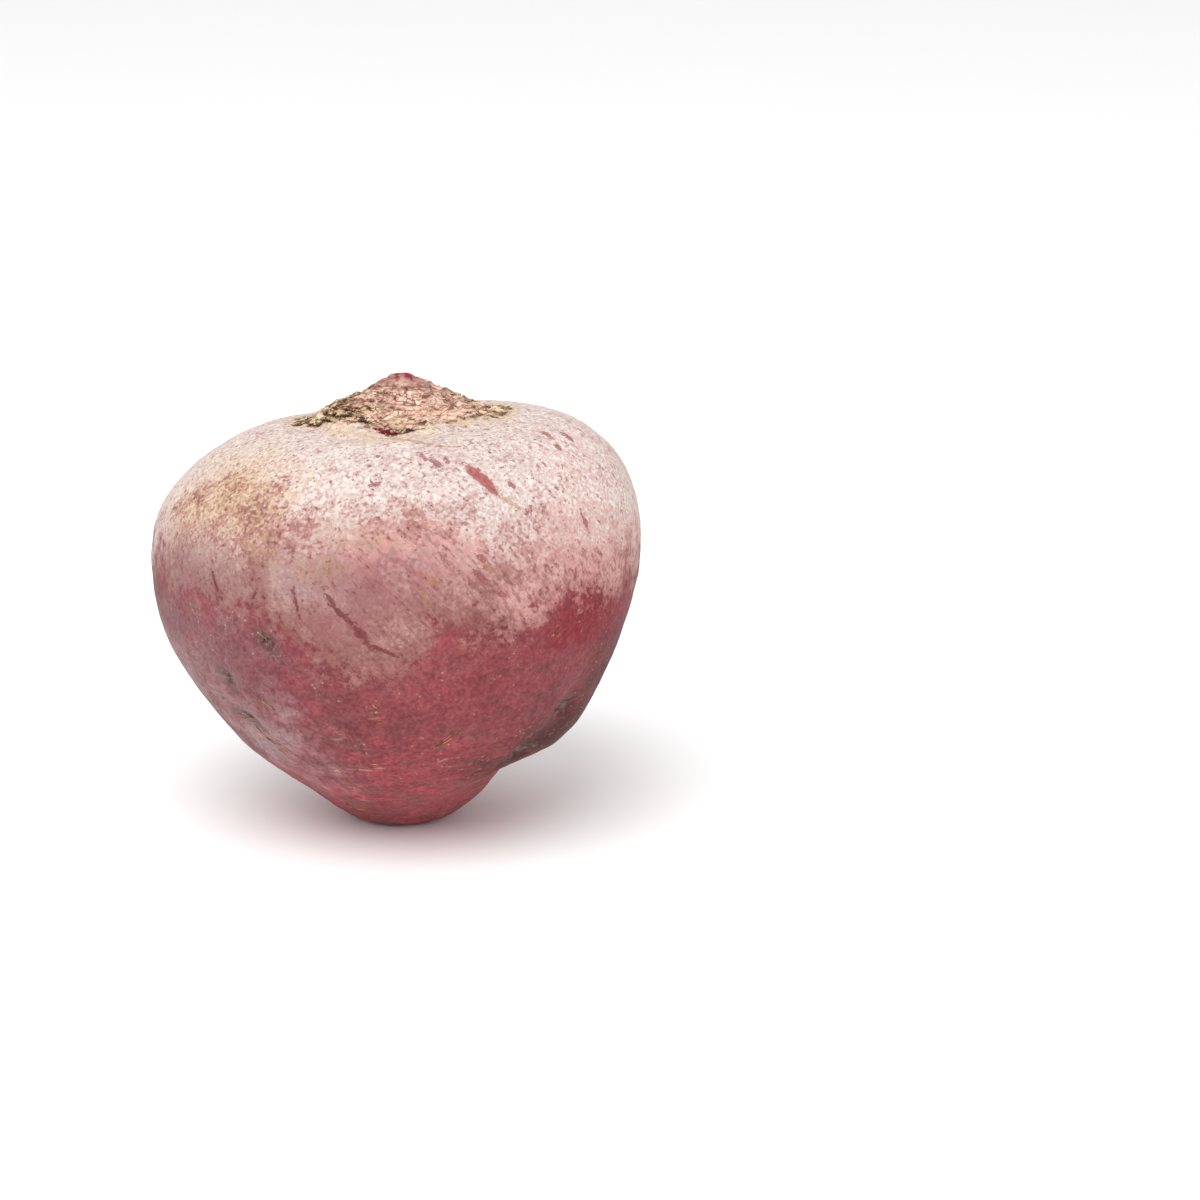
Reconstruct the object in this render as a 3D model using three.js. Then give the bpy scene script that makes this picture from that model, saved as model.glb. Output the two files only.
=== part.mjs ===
// A whole beetroot, lifted and trimmed: a heart-shaped root with a corky crown where the leaves were
// cut away, and a short tail cut off square, on which it stands.
//
// Millimetres, +Z up. The origin is at the bottom centre of the root's bounding box, on the flat cut
// of the tail. -Y is the front and +X the right. A bearing is an angle round the root in degrees, 0 at
// the front and positive towards the right.

import * as THREE from "three";
import { mergeVertices } from "three/addons/utils/BufferGeometryUtils.js";

// Driving dimensions

const WIDTH = 88; // across the shoulders, left to right
const HEIGHT = 82; // from the cut tail to the tip of the crown's bud
const DEPTH_SHARE = 0.96; // front to back, as a share of the width
const BELLY_HEIGHT = 49; // where the root is widest
const TAIL_RADIUS = 8.5; // the flat cut at the root's end
const CROWN_RADIUS = 18; // the corky patch that the leaves grew from
const CROWN_HEIGHT = 73.8; // its rim, above the cut tail
const BUD_RADIUS = 2.4; // the heart bud at the crown's tip
const BUD_RISE = 1.0;

// How full each stretch of the half outline is: two curve handles, each as a share of the half width and
// a share of the stretch's own rise.
const FLANK_HANDLES = [[0.45, 0.15], [0.99, 0.38]]; // tail to belly
const SHOULDER_HANDLES = [[1.005, 0.62], [0.72, 1.05]]; // belly to the crown's rim
const SLOPE_HANDLES = [[0.36, 0], [0.303, 0.26]]; // rim to bud

// How the root grew out of true

const LEAN = -1.1; // the belly and tail stand this far left of the crown
const SHOULDER_TILT = 0.055; // the right shoulder is higher than the left, rise per millimetre
const BACK_FALL = 0.07; // the back shoulder is lower than the front, fall per millimetre
const TILT_FROM = 54; // heights between which the shoulders take up that tilt
const TILT_FULL = 72;
const TAIL_TRUE = 7; // below this height the swellings and furrows die away towards the flat cut

// Soft swellings of the flesh, and hollows where the rise is negative. Across and along are how far each
// one reaches round the root and up it.
const SWELLINGS = [
  { bearing: 88, height: 33, across: 26, along: 13, rise: -1.7 }, // flat right flank
  { bearing: 74, height: 9.5, across: 15, along: 4.5, rise: -3.2 }, // waist above the tail on the right
  { bearing: 78, height: 17, across: 13, along: 5, rise: 0.2 }, // knuckle above that waist
  { bearing: -80, height: 22, across: 22, along: 11, rise: -1.5 }, // leaner left flank
  { bearing: -74, height: 8, across: 14, along: 5, rise: -1.1 }, // slight waist below it
  { bearing: 20, height: 30, across: 20, along: 16, rise: 0.6 }, // full front
  { bearing: 178, height: 26, across: 24, along: 14, rise: -1.2 }, // flatter back
  { bearing: 130, height: 52, across: 22, along: 14, rise: 0.8 }, // fuller shoulder behind on the right
  { bearing: -140, height: 58, across: 20, along: 12, rise: -0.7 }, // sunken shoulder behind on the left
  { bearing: -95, height: 76.5, across: 9, along: 3, rise: 0.9 }, // fuller left side of the crown
  { bearing: 95, height: 77.5, across: 7, along: 2.5, rise: 0.5 }, // and right side
];

// The furrows that the side roots broke out of, each running down the root to the tail along a bearing
// that twists by so many degrees a millimetre, and the pit at the place of each side root.
const FURROW_DEPTH = 0.7;
const FURROW_WIDTH = 5.5;
const FURROW_TOP = 46;
const FURROW_FADE = 7;
const FURROWS = [
  { bearing: -45, twist: 0 },
  { bearing: 40, twist: 0.5 },
  { bearing: 142, twist: -0.1 },
  { bearing: -136, twist: 0.15 },
];
const PIT_DEPTH = 0.9;
const PIT_WIDTH = 3.2;
const PITS = [
  { bearing: -30, height: 42.5 },
  { bearing: -46.5, height: 33 },
  { bearing: -45, height: 25 },
  { bearing: 55, height: 26 },
  { bearing: 47, height: 18.5 },
  { bearing: 138, height: 38 },
  { bearing: 140, height: 24 },
  { bearing: -131, height: 33 },
  { bearing: -133, height: 20 },
];

// The leaf scars on the crown: ledges that step down from the bud to the rim, waved round the crown.
const LEDGE_PITCH = 2.9;
const LEDGE_RISE = 0.55;
const LEDGE_LIP = 0.7; // where in each pitch the ledge is highest
const RIM_BLEND = 1.5; // the ledges die away over this distance each side of the rim
const LEDGE_WAVES = [
  { count: 2, share: 0.3, turn: 0.7 },
  { count: 3, share: 0.24, turn: 2.1 },
  { count: 7, share: 0.1, turn: 4.4 },
];
const CLEFT = { bearing: -3, radius: 14.2, across: 5, along: 1.5, depth: 1.3 }; // torn scar in front

// Fineness of the surface

const SIDES = 90;
const FLANK_STEPS = 22;
const SHOULDER_STEPS = 14;
const SLOPE_STEPS = 20;
const BUD_STEPS = 3;
const WELD = 1e-4; // points closer than this are one

const halfWidth = WIDTH / 2;
const budHeight = HEIGHT - BUD_RISE;
const degrees = 180 / Math.PI;

// One stretch of the half outline, bowed by its two handles.
function stretch(from, to, handles) {
  const rise = to.y - from.y;
  const [near, far] = handles.map(([out, up]) => new THREE.Vector2(out * halfWidth, from.y + up * rise));
  return new THREE.CubicBezierCurve(from, near, far, to);
}

// The root's half outline, radius against height: from the tail out to the belly, over the shoulder to
// the crown's rim, up the crown's slope and round the bud.
function outline() {
  const foot = new THREE.Vector2(TAIL_RADIUS, 0);
  const belly = new THREE.Vector2(halfWidth, BELLY_HEIGHT);
  const rim = new THREE.Vector2(CROWN_RADIUS, CROWN_HEIGHT);
  const budFoot = new THREE.Vector2(BUD_RADIUS, budHeight);
  const bud = new THREE.EllipseCurve(0, budHeight, BUD_RADIUS, BUD_RISE, 0, Math.PI / 2);
  const points = [
    new THREE.Vector2(0, 0),
    ...stretch(foot, belly, FLANK_HANDLES).getSpacedPoints(FLANK_STEPS),
    ...stretch(belly, rim, SHOULDER_HANDLES).getSpacedPoints(SHOULDER_STEPS).slice(1),
    ...stretch(rim, budFoot, SLOPE_HANDLES).getSpacedPoints(SLOPE_STEPS).slice(1),
    ...bud.getPoints(BUD_STEPS).slice(1),
  ];
  points[points.length - 1].x = 0;
  return points;
}

// A smooth bell, 1 at the middle and about 0.02 at two reaches away.
function bell(distance, reach) {
  return Math.exp(-((distance / reach) ** 2));
}

// Millimetres round the root from one bearing to another, the short way.
function arcBetween(bearing, from, reachOut) {
  const turn = THREE.MathUtils.euclideanModulo(bearing - from + 180, 360) - 180;
  return (turn / degrees) * reachOut;
}

function swellingAt(bearing, height, reachOut) {
  return SWELLINGS.reduce((sum, swelling) => {
    const across = bell(arcBetween(bearing, swelling.bearing, reachOut), swelling.across);
    return sum + swelling.rise * across * bell(height - swelling.height, swelling.along);
  }, 0);
}

function furrowAt(bearing, height, reachOut) {
  const fade = 1 - THREE.MathUtils.smoothstep(height, FURROW_TOP - FURROW_FADE, FURROW_TOP + FURROW_FADE);
  const furrows = FURROWS.reduce((sum, furrow) => {
    const line = furrow.bearing + furrow.twist * height;
    return sum + FURROW_DEPTH * fade * bell(arcBetween(bearing, line, reachOut), FURROW_WIDTH);
  }, 0);
  return PITS.reduce((sum, pit) => {
    const across = bell(arcBetween(bearing, pit.bearing, reachOut), PIT_WIDTH);
    return sum - PIT_DEPTH * across * bell(height - pit.height, PIT_WIDTH);
  }, -furrows);
}

// The crown's ledges, each a slow rise out to its lip and a quick drop outside it, and the torn scar.
function crownAt(bearing, reachOut) {
  const fade =
    THREE.MathUtils.smoothstep(reachOut, BUD_RADIUS, BUD_RADIUS + LEDGE_PITCH) *
    (1 - THREE.MathUtils.smoothstep(reachOut, CROWN_RADIUS - RIM_BLEND, CROWN_RADIUS + RIM_BLEND));
  const turn = bearing / degrees;
  const wave = LEDGE_WAVES.reduce((sum, w) => sum + w.share * Math.sin(w.count * turn + w.turn), 0);
  const phase = THREE.MathUtils.euclideanModulo(reachOut / LEDGE_PITCH + wave, 1);
  const ledge = phase < LEDGE_LIP ? phase / LEDGE_LIP : (1 - phase) / (1 - LEDGE_LIP);
  const cleftArc = arcBetween(bearing, CLEFT.bearing, reachOut);
  const cleft = bell(cleftArc, CLEFT.across) * bell(reachOut - CLEFT.radius, CLEFT.along);
  return LEDGE_RISE * fade * (ledge - 0.5) - CLEFT.depth * cleft;
}

// Grows one point of the true lathe out of true. The flat cut of the tail stays flat.
function grow(point, normal) {
  const reachOut = Math.hypot(point.x, point.y);
  const bearing = Math.atan2(point.x, -point.y) * degrees;
  const height = point.z;
  const onCut = height < WELD;
  if (!onCut) {
    const tailFade = THREE.MathUtils.smoothstep(height, 0, TAIL_TRUE);
    const flesh = tailFade * (swellingAt(bearing, height, reachOut) + furrowAt(bearing, height, reachOut));
    const scars = height > BELLY_HEIGHT ? crownAt(bearing, reachOut) : 0;
    point.addScaledVector(normal, flesh + scars);
    const tilt = THREE.MathUtils.smoothstep(height, TILT_FROM, TILT_FULL);
    point.z += tilt * (SHOULDER_TILT * point.x - BACK_FALL * Math.max(point.y, 0));
  }
  point.x += LEAN * (1 - THREE.MathUtils.smoothstep(height, BELLY_HEIGHT, CROWN_HEIGHT));
  point.y *= DEPTH_SHARE;
  return point;
}

function rootGeometry() {
  const lathe = new THREE.LatheGeometry(outline(), SIDES).rotateX(Math.PI / 2);
  lathe.deleteAttribute("normal");
  lathe.deleteAttribute("uv");
  const geometry = mergeVertices(lathe, WELD);
  geometry.computeVertexNormals();
  const { position, normal } = geometry.attributes;
  const point = new THREE.Vector3();
  const outward = new THREE.Vector3();
  for (let i = 0; i < position.count; i++) {
    point.fromBufferAttribute(position, i);
    outward.fromBufferAttribute(normal, i);
    grow(point, outward);
    position.setXYZ(i, point.x, point.y, point.z);
  }
  geometry.computeBoundingBox();
  const middle = geometry.boundingBox.getCenter(new THREE.Vector3());
  geometry.translate(-middle.x, -middle.y, -geometry.boundingBox.min.z);
  geometry.computeVertexNormals();
  return geometry;
}

const skin = new THREE.MeshStandardMaterial({ color: 0xa8646c, roughness: 0.7, metalness: 0 });

const beetroot = new THREE.Mesh(rootGeometry(), skin);
beetroot.name = "beetroot";

const part = new THREE.Group();
part.add(beetroot);

export default part;
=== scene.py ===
"""The looks of a whole beetroot.

Dusty corky shoulders lie over a crimson root, with a ragged crown of leaf scars on top, pits where side
roots broke out, and a few dry rootlets that still cling to the skin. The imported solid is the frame: the
root is grown from a merged copy of it, and everything else is set down on that root.

Places on the root are given as seen from its heart: a bearing round it in degrees, 0 at the front and
positive to the right, and a rise in degrees above the level. Lengths are in millimetres unless a name
says otherwise.
"""

import logging
import math
import random
from dataclasses import dataclass
from enum import Enum
from typing import Any, Iterable, Iterator, Optional, Sequence, Union

import bmesh
import bpy
import numpy as np
from mathutils import Matrix, Vector, noise
from mathutils.bvhtree import BVHTree


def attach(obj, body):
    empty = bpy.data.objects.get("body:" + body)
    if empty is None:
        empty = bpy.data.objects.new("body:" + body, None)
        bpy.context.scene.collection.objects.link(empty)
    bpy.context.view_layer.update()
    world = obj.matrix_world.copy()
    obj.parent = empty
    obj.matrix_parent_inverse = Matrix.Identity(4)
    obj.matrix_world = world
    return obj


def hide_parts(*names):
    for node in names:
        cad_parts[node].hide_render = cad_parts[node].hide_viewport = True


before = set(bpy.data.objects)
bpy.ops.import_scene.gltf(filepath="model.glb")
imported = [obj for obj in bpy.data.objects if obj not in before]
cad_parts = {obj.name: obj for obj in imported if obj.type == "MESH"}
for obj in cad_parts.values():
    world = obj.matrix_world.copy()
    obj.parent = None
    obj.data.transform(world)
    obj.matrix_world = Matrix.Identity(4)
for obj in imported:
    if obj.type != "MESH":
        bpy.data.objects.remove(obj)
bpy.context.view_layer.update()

LOG = logging.getLogger("beetroot")

MM = 0.001
BODY = "root"
NODE = "beetroot"
HEART = Vector((0.0, 0.0, 42.0))
FAR = 200.0  # well outside the root
GLOSS = 0.1  # how strongly every surface mirrors, where 0.5 is plain varnish
NOISE_SPAN = (0.28, 0.72)  # what plain noise mostly stays within
PATCH_SOFT = 0.8  # how wide a patch's edge is, as a share of its half sizes
BELL_END = 3  # a bell counts as nothing past this many reaches

Colour = tuple[float, float, float, float]
Span = tuple[float, float]
Steps = tuple[tuple[float, float], ...]
Octaves = tuple[float, float, int]
Settings = dict[str, Any]
Inputs = dict[Union[int, str], Any]


def srgb(red: int, green: int, blue: int) -> Colour:
    """Turns a colour into the linear one that a shader takes.

    Args:
        red: The red part, 0 to 255.
        green: The green part, 0 to 255.
        blue: The blue part, 0 to 255.

    Returns:
        The same colour in linear light, with full alpha.
    """
    parts = [channel / 255 for channel in (red, green, blue)]
    linear = [c / 12.92 if c <= 0.04045 else ((c + 0.055) / 1.055) ** 2.4 for c in parts]
    return (*linear, 1.0)


def smooth(value: float, low: float, high: float) -> float:
    """Rises smoothly from 0 at low to 1 at high."""
    share = min(max((value - low) / (high - low), 0.0), 1.0)
    return share * share * (3 - 2 * share)


def bell(distance: float, reach: float) -> float:
    """A smooth hump, 1 at no distance and nearly 0 at two reaches away."""
    return math.exp(-((distance / reach) ** 2))


def heading(bearing: float) -> Vector:
    """The level direction of a bearing in degrees."""
    turn = math.radians(bearing)
    return Vector((math.sin(turn), -math.cos(turn), 0.0))


def facing(bearing: float, rise: float) -> Vector:
    """The direction out of the root's heart at a bearing and a rise in degrees."""
    tilt = math.radians(rise)
    return heading(bearing) * math.cos(tilt) + Vector((0, 0, math.sin(tilt)))


def link(name: str, mesh: bpy.types.Mesh) -> bpy.types.Object:
    """Puts a mesh into the scene as an object at the origin.

    Args:
        name: The object's name.
        mesh: Its mesh.

    Returns:
        The new object.
    """
    made = bpy.data.objects.new(name, mesh)
    bpy.context.scene.collection.objects.link(made)
    return made


@dataclass(frozen=True)
class Seat:
    """An ellipsoid set on the skin, in metres: its middle, its turn and its half sizes."""

    middle: tuple[float, float, float]
    turn: tuple[float, float, float]
    half_sizes: tuple[float, float, float]


Value = Union["Signal", float]


class Signal:
    """A value on its way through a material, so that arithmetic on it adds the Math nodes."""

    def __init__(self, bench: "Bench", socket: bpy.types.NodeSocket) -> None:
        """Wraps one output socket of a node on the bench."""
        self.bench = bench
        self.socket = socket

    def _math(self, operation: str, first: Value, second: Value) -> "Signal":
        """Adds one Math node on two values."""
        return self.bench.node("ShaderNodeMath", {"operation": operation}, {0: first, 1: second})

    def __add__(self, other: Value) -> "Signal":
        """This value plus another."""
        return self._math("ADD", self, other)

    def __radd__(self, other: Value) -> "Signal":
        """A number plus this value."""
        return self._math("ADD", other, self)

    def __sub__(self, other: Value) -> "Signal":
        """This value less another."""
        return self._math("SUBTRACT", self, other)

    def __rsub__(self, other: Value) -> "Signal":
        """A number less this value."""
        return self._math("SUBTRACT", other, self)

    def __mul__(self, other: Value) -> "Signal":
        """This value times another."""
        return self._math("MULTIPLY", self, other)

    def __rmul__(self, other: Value) -> "Signal":
        """A number times this value."""
        return self._math("MULTIPLY", other, self)

    def most(self, other: Value) -> "Signal":
        """The larger of this value and another."""
        return self._math("MAXIMUM", self, other)


class Bench:
    """One material's nodes, and the few kinds of node that its paint is mixed from."""

    def __init__(self, name: str) -> None:
        """Starts a material with an empty node tree."""
        self.material = bpy.data.materials.new(name)
        self.material.use_nodes = True
        self.tree = self.material.node_tree
        self.tree.nodes.clear()
        self.place = self.node("ShaderNodeTexCoord", {}, {}, "Object")

    def add(self, kind: str, settings: Settings, inputs: Inputs) -> bpy.types.Node:
        """Adds one node.

        Args:
            kind: Blender's name of the node's type.
            settings: The node's own settings, which are set first.
            inputs: A value or a Signal for each socket that isn't left as it is.

        Returns:
            The new node.
        """
        made = self.tree.nodes.new(kind)
        for name, setting in settings.items():
            if name == "stops":
                self._set_stops(made.color_ramp, setting)
            else:
                setattr(made, name, setting)
        for key, value in inputs.items():
            if isinstance(value, Signal):
                self.tree.links.new(value.socket, made.inputs[key])
            else:
                made.inputs[key].default_value = value
        return made

    def node(self, kind: str, settings: Settings, inputs: Inputs, output: Union[int, str] = 0) -> Signal:
        """Adds one node, and gives the output of it that the caller wants."""
        return Signal(self, self.add(kind, settings, inputs).outputs[output])

    @staticmethod
    def _set_stops(ramp: bpy.types.ColorRamp, stops: Sequence[tuple[float, Colour]]) -> None:
        """Sets a colour ramp's stops.

        Args:
            ramp: The ramp to set.
            stops: Each stop's place and colour, in rising order.
        """
        while len(ramp.elements) < len(stops):
            ramp.elements.new(1.0)
        for element, (position, colour) in zip(ramp.elements, stops):
            element.position = position
            element.color = colour

    def ramp(self, value: Signal, stops: Sequence[tuple[float, Colour]]) -> Signal:
        """Turns a value into a colour by a ramp's stops."""
        return self.node("ShaderNodeValToRGB", {"stops": stops}, {"Fac": value})

    def height(self) -> Signal:
        """The height above the tail's cut, in millimetres."""
        return self.node("ShaderNodeSeparateXYZ", {}, {0: self.place}, 2) * (1 / MM)

    def drawn(self, lengths: Sequence[float], turn: Sequence[float] = (0, 0, 0)) -> Signal:
        """The place on turned axes, so that a pattern there is drawn out by a length along each of them."""
        values = {"Vector": self.place, "Rotation": turn, "Scale": lengths}
        return self.node("ShaderNodeMapping", {"vector_type": "TEXTURE"}, values)

    def noise(
        self,
        size: float,
        detail: float = 3.0,
        rough: float = 0.55,
        place: Optional[Signal] = None,
        warp: float = 0.0,
    ) -> Signal:
        """Cloudy noise from 0 to 1.

        Args:
            size: How large its broadest lumps are.
            detail: How many finer octaves it has.
            rough: How strong those octaves are.
            place: Where it is read, if not at the place on the piece itself.
            warp: How far it is pulled about.

        Returns:
            The noise as a Signal.
        """
        values = {
            "Vector": place or self.place,
            "Scale": 1 / (size * MM),
            "Detail": detail,
            "Roughness": rough,
            "Distortion": warp,
        }
        return self.node("ShaderNodeTexNoise", {}, values)

    def spread(self, *reading: Any) -> Signal:
        """Noise stretched until it fills 0 to 1 evenly; its arguments are those of the noise."""
        return self.step(self.noise(*reading), *NOISE_SPAN)

    def cells(self, size: float, output: str = "Distance", place: Optional[Signal] = None) -> Signal:
        """Scattered cells: the distance to the nearest cell's middle, or that cell's own random colour."""
        values = {"Vector": place or self.place, "Scale": 1 / (size * MM)}
        return self.node("ShaderNodeTexVoronoi", {}, values, output)

    def step(self, value: Value, low: float, high: float) -> Signal:
        """Rises smoothly from 0 where the value is low to 1 where it is high."""
        inputs = {"Value": value, "From Min": low, "From Max": high}
        return self.node("ShaderNodeMapRange", {"interpolation_type": "SMOOTHSTEP"}, inputs)

    def mix(self, share: Value, first: Any, second: Any, way: str = "MIX") -> Signal:
        """Mixes two colours, from the first at no share to the second at full share."""
        settings = {"data_type": "RGBA", "blend_type": way}
        return self.node("ShaderNodeMix", settings, {0: share, 6: first, 7: second}, 2)

    def shade(self, colour: Any, share: Signal, dark: float, light: float) -> Signal:
        """Darkens and lightens a colour as a value goes from 0 to 1."""
        tones = self.mix(share, (dark, dark, dark, 1.0), (light, light, light, 1.0))
        return self.mix(1.0, colour, tones, "MULTIPLY")

    def attribute(self, name: str) -> Signal:
        """A value that the mesh carries at its points."""
        settings = {"attribute_type": "GEOMETRY", "attribute_name": name}
        return self.node("ShaderNodeAttribute", settings, {}, "Fac")

    def inside(self, seat: Seat, ragged: Value = 0.0, soft: float = 0.15) -> Signal:
        """A mask that is 1 inside an ellipsoid set on the skin.

        Args:
            seat: The ellipsoid's middle, turn and half sizes.
            ragged: A value about 0 that pushes the edge in and out.
            soft: How wide the edge is, as a share of the half sizes.

        Returns:
            The mask as a Signal.
        """
        doubled = [2 * size for size in seat.half_sizes]
        values = {"Vector": self.place, "Location": seat.middle, "Rotation": seat.turn, "Scale": doubled}
        local = self.node("ShaderNodeMapping", {"vector_type": "TEXTURE"}, values)
        settings = {"gradient_type": "SPHERICAL"}
        near = self.node("ShaderNodeTexGradient", settings, {"Vector": local}, "Fac")
        return self.step(near + ragged, 0.5 - soft / 2, 0.5 + soft / 2)

    def finish(self, colour: Any, rough: Value, relief: Value) -> bpy.types.Material:
        """Puts the paint on a surface.

        Args:
            colour: The base colour.
            rough: The roughness.
            relief: How high the surface stands, in millimetres.

        Returns:
            The finished material.
        """
        normal = self.node("ShaderNodeBump", {}, {"Height": relief, "Distance": MM, "Strength": 1.0})
        inputs = {"Base Color": colour, "Roughness": rough, "Normal": normal, "Specular IOR Level": GLOSS}
        surface = self.node("ShaderNodeBsdfPrincipled", {}, inputs)
        self.add("ShaderNodeOutputMaterial", {}, {"Surface": surface})
        return self.material


class Ground:
    """The root's surface, as something to set things down on."""

    def __init__(self, root: bpy.types.Object) -> None:
        """Reads the root's finished mesh."""
        self.tree = BVHTree.FromObject(root, bpy.context.evaluated_depsgraph_get())

    def touch(self, bearing: float, rise: float) -> tuple[Vector, Vector]:
        """Finds a place on the skin.

        Args:
            bearing: Degrees round the root.
            rise: Degrees above the level, seen from the root's heart.

        Returns:
            The point in millimetres and the outward direction there.
        """
        way = facing(bearing, rise)
        far = (HEART + way * FAR) * MM
        point, normal, _, _ = self.tree.ray_cast(far, -way)
        return point / MM, normal

    def below(self, x: float, y: float) -> tuple[Vector, Vector]:
        """The skin straight below a place above the crown, in millimetres, and the direction out of it."""
        point, normal, _, _ = self.tree.ray_cast(Vector((x, y, FAR)) * MM, Vector((0, 0, -1)))
        return point / MM, normal

    def seat(self, bearing: float, rise: float, slant: float, sizes: Sequence[float]) -> Seat:
        """Sets an ellipsoid on the skin.

        Args:
            bearing: Degrees round the root.
            rise: Degrees above the level, seen from the root's heart.
            slant: Degrees that its long axis climbs towards the right.
            sizes: Its length, width and depth.

        Returns:
            The seated ellipsoid.
        """
        point, out = self.touch(bearing, rise)
        level = Vector((0, 0, 1)).cross(heading(bearing))
        upward = out.cross(level).normalized()
        along = Matrix.Rotation(math.radians(slant), 3, out) @ upward.cross(out)
        turn = Matrix((along, out.cross(along), out)).transposed().to_euler()
        return Seat(tuple(point * MM), tuple(turn), tuple(size / 2 * MM for size in sizes))


class Kind(Enum):
    """What a small mark on the skin is, how soft its edge is and how ragged."""

    FLECK = ("a chip out of the crust, with dull rose skin showing", 0.25, 1.5)
    SCAR = ("a peeled sliver, with salmon flesh showing", 0.2, 0.55)
    SCRATCH = ("a scratch through the crust", 0.3, 1.2)
    NICK = ("a dry tan nick", 0.4, 1.4)
    SHOW = ("a patch that the crust left bare", 0.8, 1.0)
    PIT = ("the grey wrinkled pit of a side root", 0.8, 0.8)
    MOULD = ("a black spot on the crown", 0.25, 1.0)
    CLEFT = ("a torn leaf scar, with raw red flesh showing", 0.3, 0.7)

    def __init__(self, _meaning: str, soft: float, ragged: float) -> None:
        """Keeps how soft and how ragged the kind's edge is."""
        self.soft = soft
        self.ragged = ragged


@dataclass(frozen=True)
class Mark:
    """A small mark on the skin: where it is, how long and wide, and how its long axis slants."""

    bearing: float
    rise: float
    length: float
    width: float
    slant: float


class Tint(Enum):
    """How the skin's colour drifts over a wide patch."""

    TAN = "tan, granular crust"
    OCHRE = "yellow-stained crust"
    ROSE = "thin crust, with rose skin showing through"
    PURPLE = "purple-tinged film"
    # Thick white crust, and painted light on the left and right rims.
    WHITE = "thick white crust"
    MAUVE = "grey-mauve film"
    DUST = "bare skin under a mauve dust"
    # Dark soil stain, and painted shade on the lower right of the root.
    SOIL = "bare skin stained dark by soil"
    BRIGHT = "bright red skin"
    CLEAN = "clean deep crimson skin"
    CHIPPED = "crust chipped by many small flecks"
    STRAW = "the yellow lip of the crown"
    # A pale grey film on the left and right rims: painted sheen.
    PALE = "pale grey film"
    MAROON = "dull dark skin just below the crust"


@dataclass(frozen=True)
class Patch:
    """A wide patch on the skin: where it is, and how far it reaches round the root and up it."""

    bearing: float
    rise: float
    across: float
    up: float


MARKS: dict[Kind, tuple[Mark, ...]] = {
    Kind.SCAR: (Mark(28.4, 39.2, 8.6, 2.1, -66),),
    Kind.NICK: (
        Mark(33.6, 32.6, 3.6, 0.9, -42), Mark(11.1, 16.7, 3.6, 1.1, -45),
        Mark(9.2, 13.6, 3.4, 0.8, -51), Mark(25.2, 18.5, 3.6, 0.7, -40),
        Mark(8.3, 58.6, 14.4, 1.2, -41), Mark(22.5, 52.2, 4.0, 0.8, -20),
    ),
    Kind.FLECK: (
        Mark(65.3, 46.4, 2.6, 1.1, -107), Mark(71.8, 43.7, 3.3, 1.2, -102),
        Mark(61.5, 42.0, 2.0, 0.9, -118), Mark(13.2, 48.4, 2.4, 1.0, -65),
        Mark(16.4, 45.7, 3.4, 1.3, -68), Mark(20.6, 46.8, 2.2, 0.9, -84),
        Mark(-3.5, 39.9, 1.7, 0.9, 15), Mark(36.4, 36.1, 1.8, 0.8, -67),
        Mark(38.0, 29.4, 1.1, 0.9, -10), Mark(55.0, 24.3, 3.2, 0.7, -83),
        Mark(23.3, 20.8, 2.4, 0.8, -35), Mark(23.1, 16.4, 2.7, 0.8, -40),
        Mark(27.8, 12.3, 1.8, 0.8, -35),
    ),
    Kind.SCRATCH: (
        Mark(-12.7, 12.3, 3.0, 0.7, -57), Mark(-10.0, 9.1, 5.4, 0.8, -43),
        Mark(-5.7, 4.8, 6.2, 1.3, -50), Mark(-0.8, 0.9, 5.6, 0.6, -25),
        Mark(-43.9, 12.5, 4.2, 0.7, -58), Mark(-32.2, 11.6, 2.2, 0.6, -118),
        Mark(-21.0, 11.2, 5.2, 0.7, -77),
    ),
    Kind.SHOW: (
        Mark(36.0, 8.8, 4.7, 1.4, -4), Mark(12.1, 7.8, 6.0, 3.0, -12), Mark(14.0, 4.5, 7.0, 3.5, 20),
        Mark(45.7, 8.3, 5.0, 4.0, -48),
    ),
    Kind.PIT: (
        Mark(-30.0, 0.5, 5.6, 2.6, -44), Mark(-46.5, -12.7, 4.5, 2.4, -61),
        Mark(-44.7, -26.1, 6.8, 2.4, -22), Mark(55.4, -24.2, 6.5, 2.2, 17),
        Mark(47.2, -38.0, 6.5, 2.2, 4),
    ),
    Kind.CLEFT: (Mark(-5.5, 68.6, 3.6, 1.1, -10), Mark(4.0, 67.4, 4.0, 0.9, -8)),
    Kind.MOULD: (
        Mark(-27.5, 71.7, 2.6, 1.4, -19), Mark(-69.6, 70.0, 4.5, 0.7, 18),
        Mark(-52.0, 71.0, 2.6, 0.6, 10), Mark(-0.3, 65.6, 2.2, 1.8, -10),
        Mark(12.0, 67.6, 4.4, 0.7, -6), Mark(92.0, 64.0, 2.6, 1.0, -10),
    ),
}

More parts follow.
